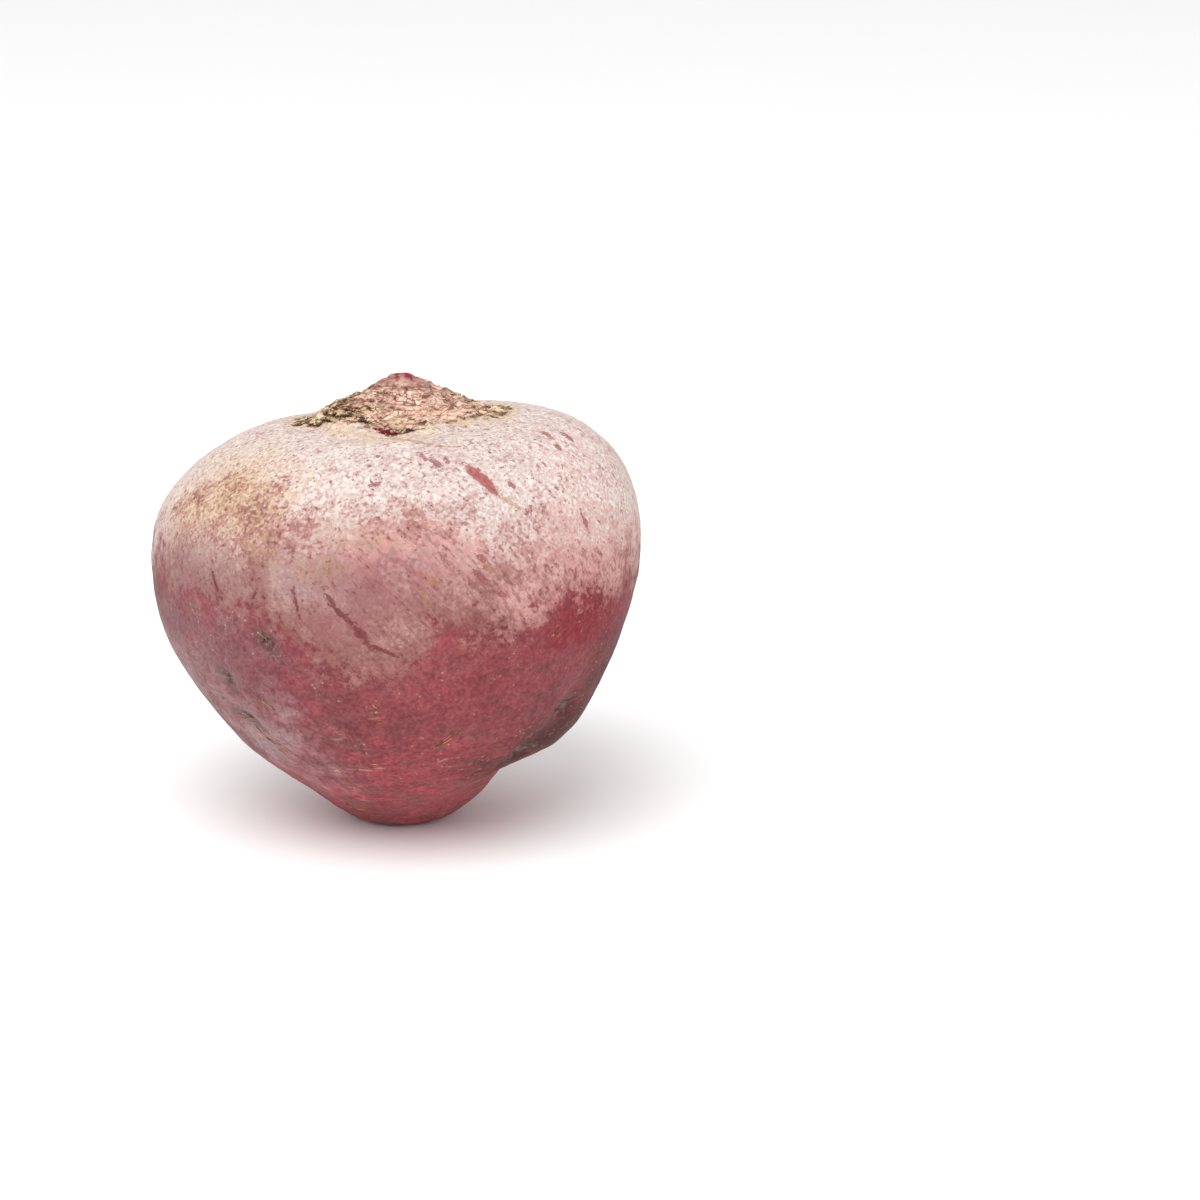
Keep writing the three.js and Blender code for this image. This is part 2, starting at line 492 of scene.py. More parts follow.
PATCHES: dict[Tint, tuple[Patch, ...]] = {
    Tint.TAN: (
        Patch(-52, 35, 26, 17), Patch(-60, 28, 16, 12), Patch(-38, 30, 12, 8), Patch(150, 36, 26, 16),
    ),
    Tint.OCHRE: (Patch(-31.4, 23.0, 7, 6), Patch(-15.5, 19.6, 9, 5), Patch(-8, 27, 16, 5)),
    Tint.ROSE: (
        Patch(4, 23, 25, 10), Patch(72, 25, 30, 22), Patch(58, 27, 24, 18), Patch(56, 15, 30, 16),
        Patch(88, 18, 22, 16), Patch(46, 9, 28, 11), Patch(66, 37, 24, 15), Patch(-160, 25, 28, 14),
    ),
    Tint.PURPLE: (Patch(1, 17, 21, 11), Patch(-10, 6.5, 13, 7)),
    # The patches at bearings -88 and 95 paint light onto the rims; the others are thick white crust.
    Tint.WHITE: (
        Patch(0, 42, 26, 8), Patch(-22, 52, 30, 14), Patch(36, 58, 26, 13), Patch(60, 49, 14, 8),
        Patch(175, 50, 40, 20), Patch(-88, 24, 30, 36), Patch(95, 25, 22, 24),
    ),
    Tint.MAUVE: (Patch(-52, 13, 26, 12), Patch(-17, 16, 20, 11), Patch(120, 12, 26, 12)),
    Tint.DUST: (
        Patch(-64, -14, 38, 32), Patch(-44, -28, 24, 26), Patch(-80, -32, 26, 20),
        Patch(150, -14, 26, 22),
    ),
    # Soil stain, and painted shade on the lower right of the root.
    Tint.SOIL: (
        Patch(80, -22, 20, 24), Patch(60, -34, 22, 14), Patch(46, -42, 16, 8), Patch(-150, -34, 24, 16),
    ),
    Tint.CLEAN: (Patch(56, 2, 24, 11), Patch(-120, 0, 20, 10)),
    Tint.BRIGHT: (Patch(23.7, -4.7, 10, 6), Patch(24, -11, 9, 9), Patch(-2, -40, 38, 17)),
    Tint.CHIPPED: (
        Patch(48, 42, 44, 30), Patch(24, 18, 22, 10), Patch(-34, 40, 16, 12), Patch(-145, 38, 40, 26),
    ),
    Tint.STRAW: (Patch(5, 62.5, 13, 6), Patch(-42, 66, 11, 4), Patch(84, 62, 16, 6)),
    Tint.MAROON: (Patch(-66, 2, 30, 9), Patch(-36, -5, 20, 12)),
    # Painted sheen on the left and right rims, laid as a pale grey film.
    Tint.PALE: (Patch(-92, 16, 24, 34), Patch(94, 14, 20, 28)),
}


def largest(masks: Iterable[Signal]) -> Signal:
    """Joins several masks.

    Args:
        masks: The masks, at least one.

    Returns:
        One mask that is as strong as the strongest of them.
    """
    whole, *rest = masks
    for mask in rest:
        whole = whole.most(mask)
    return whole


def marked(bench: Bench, ground: Ground, kind: Kind, ragged: Signal) -> Signal:
    """A mask over every mark of one kind.

    Args:
        bench: The material to add nodes to.
        ground: The root's surface.
        kind: The kind of mark.
        ragged: A value about 0 that pushes the edges in and out.

    Returns:
        The mask as a Signal.
    """
    marks = MARKS[kind]
    sizes = [(mark.length, mark.width, mark.length) for mark in marks]
    seats = [ground.seat(mark.bearing, mark.rise, mark.slant, size) for mark, size in zip(marks, sizes)]
    return largest(bench.inside(seat, kind.ragged * ragged, kind.soft) for seat in seats)


def tinted(bench: Bench, ground: Ground, tint: Tint, ragged: Signal) -> Signal:
    """A soft mask over every patch of one tint.

    Args:
        bench: The material to add nodes to.
        ground: The root's surface.
        tint: The patches' tint.
        ragged: A value about 0 that pushes the edges in and out.

    Returns:
        The mask as a Signal.
    """
    patches = PATCHES[tint]
    sizes = [(patch.across, patch.up, patch.across) for patch in patches]
    seats = [ground.seat(patch.bearing, patch.rise, 0.0, size) for patch, size in zip(patches, sizes)]
    return largest(bench.inside(seat, ragged, PATCH_SOFT) for seat in seats)


@dataclass(frozen=True)
class CrownCork:
    """Finish of the crown: dry tan and pink leaf bases with dark cracks between them, and painted shade in
    their hollows.
    """

    tan: Colour = srgb(194, 160, 128)
    straw: Colour = srgb(236, 212, 174)
    umber: Colour = srgb(116, 84, 60)
    pink: Colour = srgb(214, 172, 156)
    blush: Colour = srgb(232, 202, 184)
    russet: Colour = srgb(156, 104, 90)
    crack_and_shade: Colour = srgb(34, 20, 15)
    # Near black of the dark cracks, also used for the painted shade in the hollows.
    seam: Colour = srgb(84, 42, 38)
    plum: Colour = srgb(152, 98, 96)
    wine: Colour = srgb(112, 40, 48)
    bud: Colour = srgb(126, 42, 56)
    mould: Colour = srgb(30, 28, 26)
    raw: Colour = srgb(108, 22, 40)
    pinker: Seat = Seat((0.007, -0.006, 0.078), (0.0, 0.0, 0.0), (0.010, 0.012, 0.02))
    darker: Seat = Seat((-0.012, 0.0, 0.076), (0.0, 0.0, 0.0), (0.009, 0.016, 0.02))

    def colour(self, bench: Bench, reach: Signal, deep: Signal) -> Signal:
        """Mixes the crown's colour.

        Args:
            bench: The material to add nodes to.
            reach: How far from the crown's middle.
            deep: Painted shade, 1 down in a hollow and 0 on a lip.

        Returns:
            The colour as a Signal.
        """
        lump = bench.spread(4.0, 3.0, 0.6)
        fibre = bench.spread(0.9, 4.0, 0.65, bench.drawn((2.4, 2.4, 0.7)), 0.6)
        left = bench.inside(self.darker, 0.4 * (lump - 0.5), 0.5)
        cork = ((0.0, self.crack_and_shade), (0.2, self.umber), (0.5, self.tan), (0.9, self.straw))
        colour = bench.ramp(fibre - 0.06 * left, cork)
        flesh = ((0.0, self.russet), (0.45, self.pink), (0.9, self.blush))
        pinker = bench.inside(self.pinker, 0.5 * (lump - 0.5), 0.6)
        colour = bench.mix(pinker * 0.85, colour, bench.ramp(fibre, flesh))
        vein = bench.spread(1.3, 2.0, 0.6, bench.drawn((3, 3, 0.8)))
        colour = bench.mix(bench.step(vein, 0.8, 0.95) * lump * 0.8, colour, self.wine)
        rim = bench.step(reach + 3 * lump, 14.5, 17.5)
        colour = bench.mix(rim * fibre * 0.7, colour, self.straw)
        off = bench.spread(2.0, 3.0, 0.6, bench.drawn((2, 2, 0.8)), 1.0) - 0.5
        split = bench.step(off * off, 0.008, 0.001) * bench.step(lump - 0.3 * left, 0.7, 0.4)
        curve = bench.spread(5.0, 2.0, 0.5, bench.drawn((1.5, 1.5, 0.6)), 0.8) - 0.5
        seam = bench.step(curve * curve, 0.006, 0.0005) * pinker
        # Painted shade: the hollows and the leaf bases' roots darken towards near black, along with the
        # dark split and seam lines.
        dark = deep.most(split * 0.9) * (0.9 - 0.4 * pinker)
        dark = dark.most(seam * 0.75) * bench.step(reach, 3.0, 5.0)
        colour = bench.mix(bench.step(reach + 3 * (fibre - 0.5), 8.0, 3.0) * 0.6, colour, self.plum)
        return bench.mix(dark, colour, bench.mix(pinker, self.crack_and_shade, self.seam))

    def spotted(self, bench: Bench, ground: Ground, colour: Signal) -> Signal:
        """Lays the black spots and the raw cleft over the crown's colour.

        Args:
            bench: The material to add nodes to.
            ground: The root's surface.
            colour: The crown's colour.

        Returns:
            The spotted colour as a Signal.
        """
        ragged = 0.8 * (bench.spread(0.9, 3.0, 0.7) - 0.5)
        colour = bench.mix(marked(bench, ground, Kind.MOULD, ragged) * 0.85, colour, self.mould)
        raw = bench.shade(self.raw, bench.noise(0.8), 0.5, 1.5)
        return bench.mix(marked(bench, ground, Kind.CLEFT, ragged), colour, raw)


@dataclass(frozen=True)
class SkinFields:
    """The noises and masks that the layers of the skin's paint share."""

    bench: Bench
    blotch: Signal
    mottle: Signal
    grain: Signal
    granule: Signal
    comb: Signal
    patches: dict[Tint, Signal]
    marks: dict[Kind, Signal]


@dataclass(frozen=True)
class BeetSkin:
    """Finish of the root: pale corky crust above, bare crimson skin below, and every mark on both."""

    crimson: Colour = srgb(142, 70, 76)
    crimson_deep: Colour = srgb(122, 62, 65)
    crimson_bright: Colour = srgb(163, 67, 77)
    crimson_clean: Colour = srgb(130, 41, 49)
    brown: Colour = srgb(116, 74, 72)
    dust: Colour = srgb(155, 128, 129)
    maroon: Colour = srgb(116, 74, 79)
    # Dark soil colour, also used as painted shade on the lower right.
    soil_and_painted_shade: Colour = srgb(72, 42, 41)
    speck: Colour = srgb(206, 160, 138)
    film_dark: Colour = srgb(126, 82, 80)
    film: Colour = srgb(150, 107, 101)
    film_mauve: Colour = srgb(150, 121, 118)
    film_purple: Colour = srgb(138, 88, 90)
    # Pale grey film colour of the painted rim sheen.
    film_pale_and_rim_sheen: Colour = srgb(206, 190, 184)
    rose: Colour = srgb(174, 131, 126)
    rose_deep: Colour = srgb(166, 106, 106)
    rose_warm: Colour = srgb(204, 153, 148)
    blush: Colour = srgb(206, 174, 168)
    lilac: Colour = srgb(188, 168, 163)
    cream: Colour = srgb(204, 188, 180)
    white: Colour = srgb(222, 216, 211)
    umber: Colour = srgb(138, 104, 87)
    tan: Colour = srgb(177, 145, 119)
    straw: Colour = srgb(202, 172, 140)
    ochre: Colour = srgb(150, 120, 78)
    fleck: Colour = srgb(138, 74, 77)
    scar: Colour = srgb(155, 88, 86)
    scratch: Colour = srgb(104, 48, 50)
    nick: Colour = srgb(152, 112, 84)
    pit: Colour = srgb(62, 48, 46)
    pit_grain: Colour = srgb(142, 120, 114)
    rim: Colour = srgb(200, 172, 126)
    cut: Colour = srgb(112, 58, 56)
    cut_ring: Colour = srgb(150, 92, 84)
    cork: CrownCork = CrownCork()
    comb_slant: float = -42.0
    chip_slant: float = -50.0
    low_skin: Span = (38.0, 16.0)
    # Painted light: heights over which the tail is lightened, as if lit from below.
    tail_painted_light: Span = (20.0, 3.0)
    cut_edge: Span = (0.3, 0.02)

    def material(self, ground: Ground) -> bpy.types.Material:
        """Mixes the root's whole paint.

        Args:
            ground: The root's surface, on which the marks and patches are seated.

        Returns:
            The finished material.
        """
        bench = Bench("beet_skin_paint")
        fields = self._fields(bench, ground)
        film, thick = self._cover(fields)
        colour = bench.mix(film, self._bare_skin(fields), self._crust(fields, thick))
        colour = self._mark_colours(fields, self._scattered_flecks(fields, colour))
        crowned = bench.step(bench.attribute("crown") + 2 * (fields.mottle - 0.5), -0.4, 0.5)
        colour = self.cork.spotted(bench, ground, self._crown(fields, colour, crowned))
        cut = bench.mix(bench.step(fields.blotch, 0.3, 0.7), self.cut, self.cut_ring)
        colour = bench.mix(bench.step(bench.height(), *self.cut_edge), colour, cut)
        dry = film.most(crowned)
        rough = 0.58 + 0.28 * dry + 0.06 * (fields.mottle - 0.5)
        chipped = largest(fields.marks[kind] for kind in (Kind.SCAR, Kind.SCRATCH, Kind.FLECK))
        relief = (
            0.05 * film
            + 0.025 * fields.grain
            + 0.05 * (fields.mottle + fields.grain) * thick
            + 0.3 * crowned * bench.noise(0.9, 4.0, 0.65)
            - 0.12 * chipped
            - 0.5 * fields.marks[Kind.PIT] * bench.spread(1.2, 3.0)
        )
        return bench.finish(colour, rough, relief)

    def _fields(self, bench: Bench, ground: Ground) -> SkinFields:
        """Lays out the noises, and the masks of every patch and mark.

        Args:
            bench: The material to add nodes to.
            ground: The root's surface, on which the marks and patches are seated.

        Returns:
            The noises and masks that the layers share.
        """
        blotch = bench.spread(5.0, 3.0, 0.6)
        mottle = bench.spread(1.7, 3.0, 0.62)
        grain = bench.spread(0.75, 2.0, 0.6)
        granule = bench.cells(0.5, "Color")
        slant = (0, math.radians(self.comb_slant), 0)
        comb = bench.spread(0.8, 3.0, 0.6, bench.drawn((1, 1, 5), slant))
        drift = 0.4 * (blotch - 0.5) + 0.2 * (mottle - 0.5)
        ragged = 0.4 * (mottle - 0.5) + 0.45 * (grain - 0.5)
        crown_kinds = (Kind.MOULD, Kind.CLEFT)
        patches = {tint: tinted(bench, ground, tint, drift) for tint in Tint}
        marks = {kind: marked(bench, ground, kind, ragged) for kind in Kind if kind not in crown_kinds}
        return SkinFields(bench, blotch, mottle, grain, granule, comb, patches, marks)

    def _cover(self, fields: SkinFields) -> tuple[Signal, Signal]:
        """Finds where the crust lies.

        Args:
            fields: The shared noises and masks.

        Returns:
            Where the crust covers the skin at all, and how thick it is there.
        """
        bench = fields.bench
        ragged = 3.4 * (fields.blotch - 0.5) + 2.6 * (fields.mottle - 0.5)
        near = bench.step(bench.attribute("crust") + ragged, -4.2, 3.2) - 0.5 * fields.marks[Kind.SHOW]
        torn = 0.45 * (fields.grain - 0.5) + 0.4 * (fields.mottle - 0.5) + 0.6 * (fields.comb - 0.5)
        worn = 0.5 + 0.5 * bench.step(bench.attribute("crust") + 0.5 * ragged, -1.5, 5.0)
        film = bench.step(near + torn, 0.25, 0.8) * worn
        drift = 0.28 * (bench.spread(11.0, 2.0) - 0.5) + 0.25 * (fields.blotch - 0.5)
        # The white patches thicken the crust: thick white crust, and painted light on the left and right
        # rims.
        drift = drift + 0.26 * fields.patches[Tint.WHITE] - 0.34 * fields.patches[Tint.TAN]
        drift = drift - 0.16 * fields.patches[Tint.ROSE]
        return film, bench.step(bench.attribute("thick") + drift, 0.1, 1.05)

    def _bare_skin(self, fields: SkinFields) -> Signal:
        """Mixes the bare skin: crimson, drawn out into level streaks low down, with pale specks.

        Args:
            fields: The shared noises and masks.

        Returns:
            The colour as a Signal.
        """
        bench = fields.bench
        broad = bench.spread(13.0, 3.0)
        level = bench.drawn((6, 6, 1))
        streak = bench.spread(1.8, 3.0, 0.62, level)
        dash = bench.spread(1.0, 2.0, 0.6, bench.drawn((4, 4, 1)))
        hair = bench.noise(0.6, 2.0, 0.6, level)
        low = bench.step(bench.height(), *self.low_skin)
        colour = bench.mix(broad, self.crimson_deep, self.crimson)
        colour = bench.mix(bench.step(streak, 0.6, 0.2) * (0.3 + 0.5 * low), colour, self.brown)
        bright = fields.patches[Tint.BRIGHT]
        lit = bench.step(dash + 0.4 * fields.blotch + 0.2 * bright, 1.0, 1.3)
        colour = bench.mix((lit * (0.1 + 0.85 * low)).most(bright * 0.12), colour, self.crimson_bright)
        colour = bench.mix(fields.patches[Tint.CLEAN] * 0.95, colour, self.crimson_clean)
        fallen = 0.5 + 0.5 * bench.step(bench.attribute("crust"), -4.0, -16.0)
        dusted = fallen * (0.35 + 0.35 * broad + 0.35 * fields.blotch)
        colour = bench.mix(fields.patches[Tint.DUST] * dusted, colour, self.dust)
        colour = bench.mix(fields.patches[Tint.MAROON] * 0.65, colour, self.maroon)
        # Darkens the soil patches: soil stain, and painted shade on the lower right.
        colour = bench.mix(fields.patches[Tint.SOIL] * 0.9, colour, self.soil_and_painted_shade)
        colour = bench.shade(colour, 0.6 * fields.grain + 0.4 * fields.mottle, 0.62, 1.38)
        # Painted light: the root is lightened towards its tail, below 20 millimetres, as if lit from below.
        colour = bench.shade(colour, bench.step(bench.height(), *self.tail_painted_light), 1.0, 1.5)
        curl = bench.spread(1.8, 2.0, 0.5, None, 1.5) - 0.5
        edge = bench.step(bench.attribute("crust"), -8.0, -1.0) * bench.step(fields.blotch, 0.3, 0.8)
        colour = bench.mix(bench.step(curl * curl, 0.012, 0.001) * edge * 0.7, colour, self.film)
        scarce = bench.step(fields.blotch + fields.mottle, 1.0, 1.4)
        specked = bench.step(bench.cells(1.3), 0.2, 0.08) * scarce
        dashed = bench.step(hair, 0.62, 0.7) * bench.step(fields.blotch, 0.5, 0.9)
        return bench.mix(specked.most(dashed * low) * 0.6, colour, self.speck)

    def _crust(self, fields: SkinFields, thick: Signal) -> Signal:
        """Mixes the crust: a brownish film where it is thin, then rose, then cream, all of it granular.

        Args:
            fields: The shared noises and masks.
            thick: How thick the crust is, from 0 to 1.

        Returns:
            The colour as a Signal.
        """
        bench = fields.bench
        patches = fields.patches
        fine = 0.5 * (fields.granule - 0.5) + 0.25 * (fields.grain - 0.5)
        coarse = 0.34 * (fields.mottle - 0.5) + 0.33 * (fields.blotch - 0.5)
        risen = bench.step(bench.attribute("crust"), -1.0, 10.0)
        cover = 0.14 + 0.17 * risen + 0.42 * thick
        cover = cover + fine * (0.6 + 0.25 * thick) + coarse * (0.62 - 0.25 * thick)
        thin = ((0.0, self.film_dark), (0.3, self.film), (0.45, self.rose))
        pale = ((0.6, self.lilac), (0.76, self.cream), (1.0, self.white))
        colour = bench.ramp(cover, (*thin, *pale))
        warm = ((0.0, self.rose_deep), (0.35, self.rose_warm), (0.75, self.blush), (1.0, self.white))
        colour = bench.mix(patches[Tint.ROSE] * 0.8, colour, bench.ramp(cover + 0.08, warm))
        granular = ((0.1, self.umber), (0.4, self.tan), (0.68, self.straw), (1.0, self.cream))
        tanned = patches[Tint.TAN] * (0.5 + 0.5 * fields.mottle)
        colour = bench.mix(tanned, colour, bench.ramp(cover + 0.7 * fine, granular))
        pores = bench.step(fields.grain, 0.2, 0.05) * bench.step(fields.blotch, 0.4, 0.8)
        colour = bench.mix(pores * (0.04 + 0.1 * patches[Tint.CHIPPED]), colour, self.fleck)
        warmth = bench.spread(7.0, 3.0, 0.6) * (0.4 + 0.6 * fields.mottle)
        colour = bench.mix(bench.step(warmth, 0.35, 0.9) * thick * 0.15, colour, self.straw)
        combed = bench.step(fields.comb, 0.5, 0.1) * (1 - bench.step(thick, 0.1, 0.6))
        colour = bench.mix(combed * 0.55, colour, self.film_dark)
        colour = bench.mix(patches[Tint.MAUVE] * (0.35 + 0.5 * fields.grain), colour, self.film_mauve)
        colour = bench.mix(patches[Tint.PURPLE] * (0.45 + 0.5 * fields.grain), colour, self.film_purple)
        # Painted sheen: pales the film on the left and right rims.
        colour = bench.mix(patches[Tint.PALE] * (0.4 + 0.4 * fields.grain), colour, self.film_pale_and_rim_sheen)
        return bench.mix(patches[Tint.OCHRE] * fields.granule * fields.mottle * 0.8, colour, self.ochre)

    def _scattered_flecks(self, fields: SkinFields, colour: Signal) -> Signal:
        """Scatters small slanted chips over the parts of the crust that are chipped.

        Args:
            fields: The shared noises and masks.
            colour: The colour of the skin so far.

        Returns:
            The colour as a Signal.
        """
        bench = fields.bench
        place = bench.drawn((1, 1, 1.9), (0, math.radians(self.chip_slant), 0))
        near = bench.cells(1.7, "Distance", place) + 0.3 * (fields.grain - 0.5)
        chipped = bench.step(near, 0.34, 0.2) * bench.step(fields.blotch + fields.mottle, 1.2, 1.55)
        return bench.mix(chipped * fields.patches[Tint.CHIPPED] * 0.65, colour, self.fleck)

    def _mark_colours(self, fields: SkinFields, colour: Signal) -> Signal:
        """Lays each kind of mark over the skin.

        Args:
            fields: The shared noises and masks.
            colour: The colour of the skin so far.

        Returns:
            The colour as a Signal.
        """
        bench = fields.bench
        for kind, paint, share in (
            (Kind.FLECK, self.fleck, 0.8),
            (Kind.SCRATCH, self.scratch, 0.8),
            (Kind.NICK, self.nick, 0.6),
            (Kind.SCAR, self.scar, 0.95),
        ):
            shaded = bench.shade(paint, fields.grain, 0.75, 1.25)
            colour = bench.mix(fields.marks[kind] * share, colour, shaded)
        wrinkle = bench.spread(0.6, 3.0, 0.6, bench.drawn((2, 2, 1)))
        return bench.mix(fields.marks[Kind.PIT] * 0.8, colour, bench.mix(wrinkle, self.pit, self.pit_grain))

    def _crown(self, fields: SkinFields, colour: Signal, crowned: Signal) -> Signal:
        """Lays the crown's yellow lip, its cork and its bud over the crust.

        Args:
            fields: The shared noises and masks.
            colour: The colour of the skin so far.
            crowned: 1 on the crown and 0 off it.

        Returns:
            The colour as a Signal.
        """
        bench = fields.bench
        reach = bench.attribute("reach")
        lip = bench.step(bench.attribute("crown") + 3 * (fields.blotch - 0.5), -2.6, -0.2)
        rim = bench.shade(self.rim, fields.grain, 0.7, 1.3)
        lip = lip.most(fields.patches[Tint.STRAW] * 0.75)
        colour = bench.mix(lip * (0.25 + 0.5 * fields.mottle), colour, rim)
        # Painted shade in the cork's hollows, read from how deep each point lies in its relief.
        deep = bench.step(bench.attribute("crack_and_shade") + 0.25 * (fields.mottle - 0.5), 0.45, 0.75)
        cork = self.cork.colour(bench, reach, deep)
        stripe = bench.spread(1.1, 2.0, 0.6, bench.drawn((0.8, 0.8, 3)))
        bud = bench.mix(bench.step(stripe, 0.4, 0.75), self.cork.plum, self.cork.bud)
        budded = bench.step(reach + 2.2 * (fields.mottle - 0.5), 3.2, 1.8)
        cork = bench.mix(budded * (0.4 + 0.6 * bench.step(stripe, 0.3, 0.6)), cork, bud)
        return bench.mix(crowned, colour, cork)


# How far the cork reaches out from the bud, by bearing round the crown.
CROWN_RIM: Steps = (
    (-180, 16), (-135, 17), (-100, 19.5), (-80, 19), (-60, 14.5), (-40, 12.6), (-15, 12.9), (0, 13.3),
    (30, 12.9), (60, 14.5), (80, 19), (110, 20), (140, 17), (180, 16),
)


def periodic(bearing: float, steps: Steps) -> float:
    """Reads a value at a bearing from steps that run once round the root."""
    bearings, values = zip(*steps)
    return float(np.interp(bearing, bearings, values))


@dataclass
class Root:
    """The root itself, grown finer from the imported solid.

    Bearing by bearing, the crust has the height of its edge and the height where it is at its thickest. The
    crown's slope is hollowed a little at its middle and filled out at the neck of the bud.
    """

    name: str = "beet_root"
    weld: float = 0.002
    pole_faces: int = 12
    fineness: int = 2
    flesh_wave: float = 14.0
    flesh_rise: float = 0.3
    flesh_octaves: Octaves = (1.0, 2.0, 3)
    skin_wave: float = 3.4
    skin_rise: float = 0.09
    skin_octaves: Octaves = (0.9, 2.0, 3)
    cork_wave: float = 1.7
    cork_rise: float = 0.4
    cork_octaves: Octaves = (0.8, 2.1, 4)
    warp_wave: float = 5.0
    warp_rise: float = 2.0
    rim_blend: Span = (-2.0, 1.5)
    cut_blend: Span = (0.2, 2.5)
    pit_depth: float = 0.7
    pit_reach: float = 2.0
    pit_wave: float = 0.9
    pit_wrinkle: float = 0.8
    slope_hollow: float = 0.55
    slope_middle: float = 9.0
    slope_reach: float = 4.5
    neck_fill: float = 0.35
    neck_middle: float = 3.6
    neck_reach: float = 1.5
    bud_smooth: float = 4.5
    crust_edge: Steps = (
        (-180, 45), (-165, 41), (-150, 40), (-135, 44), (-120, 47), (-105, 46), (-90, 47), (-76, 48.4),
        (-54, 49), (-40, 48), (-30, 50), (-23, 43.6), (-13, 38.6), (-1, 38.1), (6, 39.4), (10, 43.3),
        (15, 44.3), (22, 45.0), (32, 43.7), (39, 45.6), (43, 47.7), (53, 48.9), (65, 45.1), (80, 46),
        (95, 49), (110, 45), (130, 41), (150, 45), (165, 50), (180, 45),
    )
    crust_full: Steps = (
        (-180, 66), (-90, 64), (-54, 66), (-30, 72), (0, 75), (20, 74), (35, 67), (50, 63), (70, 60),
        (90, 60), (135, 68), (180, 66),
    )

    def build(self) -> bpy.types.Object:
        """Makes the root's mesh.

        Returns:
            The root, with its relief grown and its masks painted on its points.
        """
        root = link(self.name, self._coarse())
        finer = root.modifiers.new("finer", "SUBSURF")
        finer.levels = self.fineness
        finer.render_levels = self.fineness
        evaluated = root.evaluated_get(bpy.context.evaluated_depsgraph_get())
        fine = bpy.data.meshes.new_from_object(evaluated)
        root.modifiers.clear()
        root.data = fine
        fine.name = self.name
        self._grow(fine)
        fine.shade_smooth()
        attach(root, BODY)
        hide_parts(NODE)
        return root

    def dress(self, root: bpy.types.Object, skin: BeetSkin) -> None:
        """Paints the root."""
        root.data.materials.clear()
        root.data.materials.append(skin.material(Ground(root)))

    def _coarse(self) -> bpy.types.Mesh:
        """Makes the mesh that is then grown finer.

        Returns:
            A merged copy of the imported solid, with the diagonals of its four-sided faces taken out.
        """
        shape = bmesh.new()
        shape.from_mesh(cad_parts[NODE].data)
        bmesh.ops.remove_doubles(shape, verts=shape.verts, dist=self.weld * MM)
        diagonals = [edge for edge in shape.edges if self._is_diagonal(edge)]
        bmesh.ops.dissolve_edges(shape, edges=diagonals)
        mesh = bpy.data.meshes.new(self.name)
        shape.to_mesh(mesh)
        shape.free()
        return mesh

    def _is_diagonal(self, edge: bmesh.types.BMEdge) -> bool:
        """Tells a four-sided face's diagonal from its sides.

        Args:
            edge: An edge of the merged solid.

        Returns:
            Whether it is the longest side of both its triangles and doesn't run to a pole.
        """
        if max(len(corner.link_faces) for corner in edge.verts) >= self.pole_faces:
            return False
        sides = [side for face in edge.link_faces for side in face.edges]
        return edge.calc_length() >= max(side.calc_length() for side in sides)

    def _grow(self, mesh: bpy.types.Mesh) -> None:
        """Grows the fine relief and writes each point's masks.

        Args:
            mesh: The root's fine mesh.
        """
        points = [vertex.co / MM for vertex in mesh.vertices]
        outward = [vertex.normal.copy() for vertex in mesh.vertices]
        top = max(points, key=lambda point: point.z)
        names = ("crust", "thick", "crown", "reach", "crack_and_shade")
        masks = {name: np.zeros(len(points), np.float32) for name in names}
        grown = np.zeros((len(points), 3), np.float32)
        for index, (point, out) in enumerate(zip(points, outward)):
            bearing = math.degrees(math.atan2(point.x, -point.y))
            from_crown = Vector((point.x - top.x, point.y - top.y, 0))
            round_crown = math.degrees(math.atan2(from_crown.x, -from_crown.y))
            reach = from_crown.length if point.z > HEART.z else HEART.z
            inward = periodic(round_crown, CROWN_RIM) - reach
            share = smooth(inward, *self.rim_blend) * smooth(reach, 0.0, self.bud_smooth)
            cork = self._cork(point, share)
            edge = periodic(bearing, self.crust_edge)
            masks["crust"][index] = point.z - edge
            masks["thick"][index] = (point.z - edge) / (periodic(bearing, self.crust_full) - edge)
            masks["crown"][index] = inward
            masks["reach"][index] = reach
            # How deep a point lies in the cork's relief, which the paint turns into painted shade.
            masks["crack_and_shade"][index] = 0.5 - cork / self.cork_rise
            clear = smooth(point.z, *self.cut_blend)
            hollow = self.slope_hollow * bell(reach - self.slope_middle, self.slope_reach)
            neck = self.neck_fill * bell(reach - self.neck_middle, self.neck_reach)
            sunk = hollow - neck + self._pit(point)
            grown[index] = (point + out * (cork + self._skin(point) - sunk) * clear) * MM
        mesh.vertices.foreach_set("co", grown.ravel())
        mesh.update()
        for name, values in masks.items():
            mesh.attributes.new(name, "FLOAT", "POINT").data.foreach_set("value", values)

    def _skin(self, point: Vector) -> float:
        """Adds slow waves of the flesh to finer ones of the skin.

        Args:
            point: A point of the root.

        Returns:
            How far the skin stands out there.
        """
        flesh = noise.fractal(point / self.flesh_wave, *self.flesh_octaves)
        skin = noise.fractal(point / self.skin_wave + HEART, *self.skin_octaves)
        return self.flesh_rise * flesh + self.skin_rise * skin

    def _pit(self, point: Vector) -> float:
        """Adds up the pits of the side roots.

        Args:
            point: A point of the root.

        Returns:
            How deep they sink the skin there.
        """
        from_heart = point - HEART
        depth = 0.0
        for pit in MARKS[Kind.PIT]:
            away = from_heart.angle(facing(pit.bearing, pit.rise)) * from_heart.length
            if away < BELL_END * self.pit_reach:
                wrinkle = 1 + self.pit_wrinkle * noise.noise(point / self.pit_wave)
                depth += self.pit_depth * bell(away, self.pit_reach) * wrinkle
        return depth

